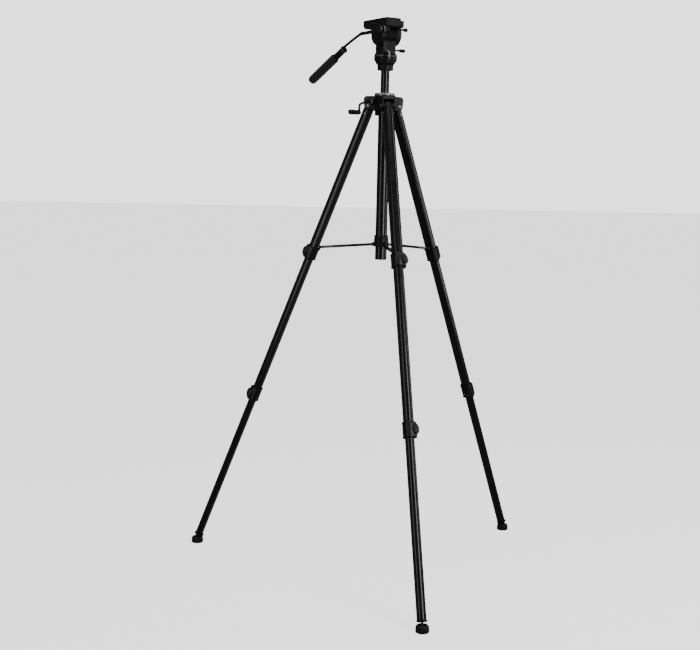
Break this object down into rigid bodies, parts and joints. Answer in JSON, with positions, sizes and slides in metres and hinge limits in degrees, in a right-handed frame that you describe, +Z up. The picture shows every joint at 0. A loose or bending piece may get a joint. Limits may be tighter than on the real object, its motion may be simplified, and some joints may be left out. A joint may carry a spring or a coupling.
{
  "type": "camera tripod",
  "caption": "Free-standing folding tripod with telescoping legs, a brace, a crank-geared column and a pan-and-tilt head with a handle and a quick-release plate.",
  "frame": {"origin": "on the floor, at the centre of the box round the tripod with its legs spread", "axes": "+Z up along the column, -Y out along the front leg; +X to the right when facing +Y"},
  "size_m": [1.0066, 0.8765, 1.548],
  "materials": {
    "black_tube": "semi-gloss black anodised tube",
    "black_plastic": "satin black moulded plastic",
    "grey_casting": "charcoal painted casting, fine texture",
    "black_rubber": "matte black rubber and foam",
    "bright_steel": "bright plated steel",
    "satin_lever": "satin grey moulded lever"
  },
  "bodies": {
    "shoulder": {"shoulder": "grey_casting", "collar_ring": "grey_casting", "guide_tube": "black_tube"},
    "brace_hub": {"brace_hub": "black_plastic"},
    "upper_leg_front": {"leg_knuckle_front": "black_plastic", "upper_tube_front": "black_tube", "upper_clamp_front": "black_plastic"},
    "mid_leg_front": {"mid_tube_front": "black_tube", "lower_clamp_front": "black_plastic"},
    "lower_leg_front": {"lower_tube_front": "black_tube", "foot_socket_front": "black_plastic"},
    "foot_front": {"foot_front": "black_rubber"},
    "upper_lever_front": {"upper_lever_front": "satin_lever"},
    "lower_lever_front": {"lower_lever_front": "satin_lever"},
    "brace_arm_front": {"brace_arm_front": "black_tube"},
    "brace_link_front": {"brace_link_front": "black_tube"},
    "upper_leg_right": {"leg_knuckle_right": "black_plastic", "upper_tube_right": "black_tube", "upper_clamp_right": "black_plastic"},
    "mid_leg_right": {"mid_tube_right": "black_tube", "lower_clamp_right": "black_plastic"},
    "lower_leg_right": {"lower_tube_right": "black_tube", "foot_socket_right": "black_plastic"},
    "foot_right": {"foot_right": "black_rubber"},
    "upper_lever_right": {"upper_lever_right": "satin_lever"},
    "lower_lever_right": {"lower_lever_right": "satin_lever"},
    "brace_arm_right": {"brace_arm_right": "black_tube"},
    "brace_link_right": {"brace_link_right": "black_tube"},
    "upper_leg_left": {"leg_knuckle_left": "black_plastic", "upper_tube_left": "black_tube", "upper_clamp_left": "black_plastic"},
    "mid_leg_left": {"mid_tube_left": "black_tube", "lower_clamp_left": "black_plastic"},
    "lower_leg_left": {"lower_tube_left": "black_tube", "foot_socket_left": "black_plastic"},
    "foot_left": {"foot_left": "black_rubber"},
    "upper_lever_left": {"upper_lever_left": "satin_lever"},
    "lower_lever_left": {"lower_lever_left": "satin_lever"},
    "brace_arm_left": {"brace_arm_left": "black_tube"},
    "brace_link_left": {"brace_link_left": "black_tube"},
    "column": {"centre_column": "black_tube", "column_rack": "bright_steel", "head_adapter": "black_plastic", "pan_base": "black_plastic"},
    "crank": {"crank_shaft": "bright_steel", "crank_arm": "black_plastic"},
    "crank_knob": {"crank_knob": "black_plastic"},
    "head": {"head_body": "grey_casting", "spirit_level": "bright_steel", "tilt_axle": "bright_steel"},
    "platform": {"tilt_platform": "black_plastic"},
    "camera_plate": {"camera_plate": "black_plastic"},
    "camera_screw": {"camera_screw": "bright_steel"},
    "plate_lever": {"plate_lever": "satin_lever"},
    "pan_handle": {"pan_handle_rod": "grey_casting", "pan_handle_grip": "black_rubber"},
    "handle_clamp_knob": {"handle_clamp_knob": "black_plastic"},
    "pan_lock_knob": {"pan_lock_knob": "black_plastic"},
    "tilt_lock_knob": {"tilt_lock_knob": "black_plastic"}
  },
  "joints": [
    {"name": "hub_slide", "type": "slide", "parent": "shoulder", "child": "brace_hub", "axis": [0, 0, 1], "range_m": [0, 0.1187]},
    {"name": "leg_fold_front", "type": "hinge", "parent": "shoulder", "child": "upper_leg_front", "pos_m": [0, 0.09886, 1.3109], "axis": [1, 0, 0], "range_deg": [0, 20]},
    {"name": "brace_arm_turn_front", "type": "hinge", "parent": "brace_hub", "child": "brace_arm_front", "pos_m": [0, 0.11276, 0.9255], "axis": [1, 0, 0], "range_deg": [0, 80.6]},
    {"name": "brace_link_turn_front", "type": "hinge", "parent": "upper_leg_front", "child": "brace_link_front", "pos_m": [0, -0.04487, 0.91141], "axis": [1, 0, 0], "range_deg": [0, 60.6]},
    {"name": "mid_slide_front", "type": "slide", "parent": "upper_leg_front", "child": "mid_leg_front", "axis": [0, 0.3716, 0.9284], "range_m": [0, 0.36]},
    {"name": "low_slide_front", "type": "slide", "parent": "mid_leg_front", "child": "lower_leg_front", "axis": [0, 0.3716, 0.9284], "range_m": [0, 0.43]},
    {"name": "foot_tilt_front", "type": "hinge", "parent": "lower_leg_front", "child": "foot_front", "pos_m": [0, -0.42079, 0.01253], "axis": [1, 0, 0], "range_deg": [-12, 6]},
    {"name": "upper_lever_turn_front", "type": "hinge", "parent": "upper_leg_front", "child": "upper_lever_front", "pos_m": [0.0202, -0.06315, 0.89319], "axis": [0, 0.3716, 0.9284], "range_deg": [0, 105]},
    {"name": "lower_lever_turn_front", "type": "hinge", "parent": "mid_leg_front", "child": "lower_lever_front", "pos_m": [0.0187, -0.23277, 0.46938], "axis": [0, 0.3716, 0.9284], "range_deg": [0, 105]},
    {"name": "leg_fold_right", "type": "hinge", "parent": "shoulder", "child": "upper_leg_right", "pos_m": [0.03585, 0.16096, 1.3109], "axis": [-0.5, 0.866, 0], "range_deg": [0, 20]},
    {"name": "brace_arm_turn_right", "type": "hinge", "parent": "brace_hub", "child": "brace_arm_right", "pos_m": [0.02382, 0.15401, 0.9255], "axis": [-0.5, 0.866, 0], "range_deg": [0, 80.6]},
    {"name": "brace_link_turn_right", "type": "hinge", "parent": "upper_leg_right", "child": "brace_link_right", "pos_m": [0.16033, 0.23283, 0.91141], "axis": [-0.5, 0.866, 0], "range_deg": [0, 60.6]},
    {"name": "mid_slide_right", "type": "slide", "parent": "upper_leg_right", "child": "mid_leg_right", "axis": [-0.3218, -0.1858, 0.9284], "range_m": [0, 0.36]},
    {"name": "low_slide_right", "type": "slide", "parent": "mid_leg_right", "child": "lower_leg_right", "axis": [-0.3218, -0.1858, 0.9284], "range_m": [0, 0.43]},
    {"name": "foot_tilt_right", "type": "hinge", "parent": "lower_leg_right", "child": "foot_right", "pos_m": [0.48589, 0.42079, 0.01253], "axis": [-0.5, 0.866, 0], "range_deg": [-12, 6]},
    {"name": "upper_lever_turn_right", "type": "hinge", "parent": "upper_leg_right", "child": "upper_lever_right", "pos_m": [0.16606, 0.25946, 0.89319], "axis": [-0.3218, -0.1858, 0.9284], "range_deg": [0, 105]},
    {"name": "lower_lever_turn_right", "type": "hinge", "parent": "mid_leg_right", "child": "lower_lever_right", "pos_m": [0.31371, 0.34298, 0.46938], "axis": [-0.3218, -0.1858, 0.9284], "range_deg": [0, 105]},
    {"name": "leg_fold_left", "type": "hinge", "parent": "shoulder", "child": "upper_leg_left", "pos_m": [-0.03585, 0.16096, 1.3109], "axis": [-0.5, -0.866, 0], "range_deg": [0, 20]},
    {"name": "brace_arm_turn_left", "type": "hinge", "parent": "brace_hub", "child": "brace_arm_left", "pos_m": [-0.02382, 0.15401, 0.9255], "axis": [-0.5, -0.866, 0], "range_deg": [0, 80.6]},
    {"name": "brace_link_turn_left", "type": "hinge", "parent": "upper_leg_left", "child": "brace_link_left", "pos_m": [-0.16033, 0.23283, 0.91141], "axis": [-0.5, -0.866, 0], "range_deg": [0, 60.6]},
    {"name": "mid_slide_left", "type": "slide", "parent": "upper_leg_left", "child": "mid_leg_left", "axis": [0.3218, -0.1858, 0.9284], "range_m": [0, 0.36]},
    {"name": "low_slide_left", "type": "slide", "parent": "mid_leg_left", "child": "lower_leg_left", "axis": [0.3218, -0.1858, 0.9284], "range_m": [0, 0.43]},
    {"name": "foot_tilt_left", "type": "hinge", "parent": "lower_leg_left", "child": "foot_left", "pos_m": [-0.48589, 0.42079, 0.01253], "axis": [-0.5, -0.866, 0], "range_deg": [-12, 6]},
    {"name": "upper_lever_turn_left", "type": "hinge", "parent": "upper_leg_left", "child": "upper_lever_left", "pos_m": [-0.18626, 0.22448, 0.89319], "axis": [0.3218, -0.1858, 0.9284], "range_deg": [0, 105]},
    {"name": "lower_lever_turn_left", "type": "hinge", "parent": "mid_leg_left", "child": "lower_lever_left", "pos_m": [-0.33241, 0.31059, 0.46938], "axis": [0.3218, -0.1858, 0.9284], "range_deg": [0, 105]},
    {"name": "column_slide", "type": "slide", "parent": "shoulder", "child": "column", "axis": [0, 0, 1], "range_m": [-0.055, 0.3]},
    {"name": "crank_turn", "type": "hinge", "parent": "shoulder", "child": "crank", "pos_m": [-0.00956, 0.15683, 1.3224], "axis": [-0.866, -0.5, 0], "range_deg": [-390, 2120]},
    {"name": "crank_knob_spin", "type": "hinge", "parent": "crank", "child": "crank_knob", "pos_m": [-0.09357, 0.10833, 1.2899], "axis": [-0.866, -0.5, 0], "continuous": true},
    {"name": "pan", "type": "hinge", "parent": "column", "child": "head", "pos_m": [0, 0.14026, 1.46], "axis": [0, 0, 1], "continuous": true},
    {"name": "tilt", "type": "hinge", "parent": "head", "child": "platform", "pos_m": [0, 0.14026, 1.507], "axis": [-0.9448, -0.3277, 0], "range_deg": [-60, 45]},
    {"name": "handle_angle", "type": "hinge", "parent": "platform", "child": "pan_handle", "pos_m": [-0.01513, 0.08685, 1.5135], "axis": [0.9448, 0.3277, 0], "range_deg": [-20, 60]},
    {"name": "handle_clamp_turn", "type": "hinge", "parent": "platform", "child": "handle_clamp_knob", "pos_m": [-0.01513, 0.08685, 1.5135], "axis": [-0.9448, -0.3277, 0], "continuous": true},
    {"name": "pan_lock_turn", "type": "hinge", "parent": "head", "child": "pan_lock_knob", "pos_m": [0.03637, 0.15288, 1.4655], "axis": [0.9448, 0.3277, 0], "continuous": true},
    {"name": "tilt_lock_turn", "type": "hinge", "parent": "head", "child": "tilt_lock_knob", "pos_m": [0.04732, 0.15032, 1.5225], "axis": [0.9448, 0.3277, 0], "continuous": true},
    {"name": "plate_slide", "type": "slide", "parent": "platform", "child": "camera_plate", "axis": [-0.3277, 0.9448, 0], "range_m": [0, 0.13]},
    {"name": "camera_screw_turn", "type": "hinge", "parent": "camera_plate", "child": "camera_screw", "pos_m": [-0.02329, 0.18299, 1.5408], "axis": [0, 0, 1], "continuous": true},
    {"name": "plate_lever_turn", "type": "hinge", "parent": "platform", "child": "plate_lever", "pos_m": [-0.02634, 0.1216, 1.53425], "axis": [0, 0, 1], "range_deg": [0, 17]}
  ],
  "couplings": [
    {"joint": "brace_arm_turn_front", "follows": "leg_fold_front", "ratio": 4.0213},
    {"joint": "brace_link_turn_front", "follows": "leg_fold_front", "ratio": 3.0213},
    {"joint": "leg_fold_right", "follows": "leg_fold_front", "ratio": 1},
    {"joint": "brace_arm_turn_right", "follows": "leg_fold_front", "ratio": 4.0213},
    {"joint": "brace_link_turn_right", "follows": "leg_fold_front", "ratio": 3.0213},
    {"joint": "leg_fold_left", "follows": "leg_fold_front", "ratio": 1},
    {"joint": "brace_arm_turn_left", "follows": "leg_fold_front", "ratio": 4.0213},
    {"joint": "brace_link_turn_left", "follows": "leg_fold_front", "ratio": 3.0213},
    {"joint": "hub_slide", "follows": "leg_fold_front", "m_per_rad": 0.33977},
    {"joint": "crank_turn", "follows": "column_slide", "rad_per_m": 123.08}
  ]
}
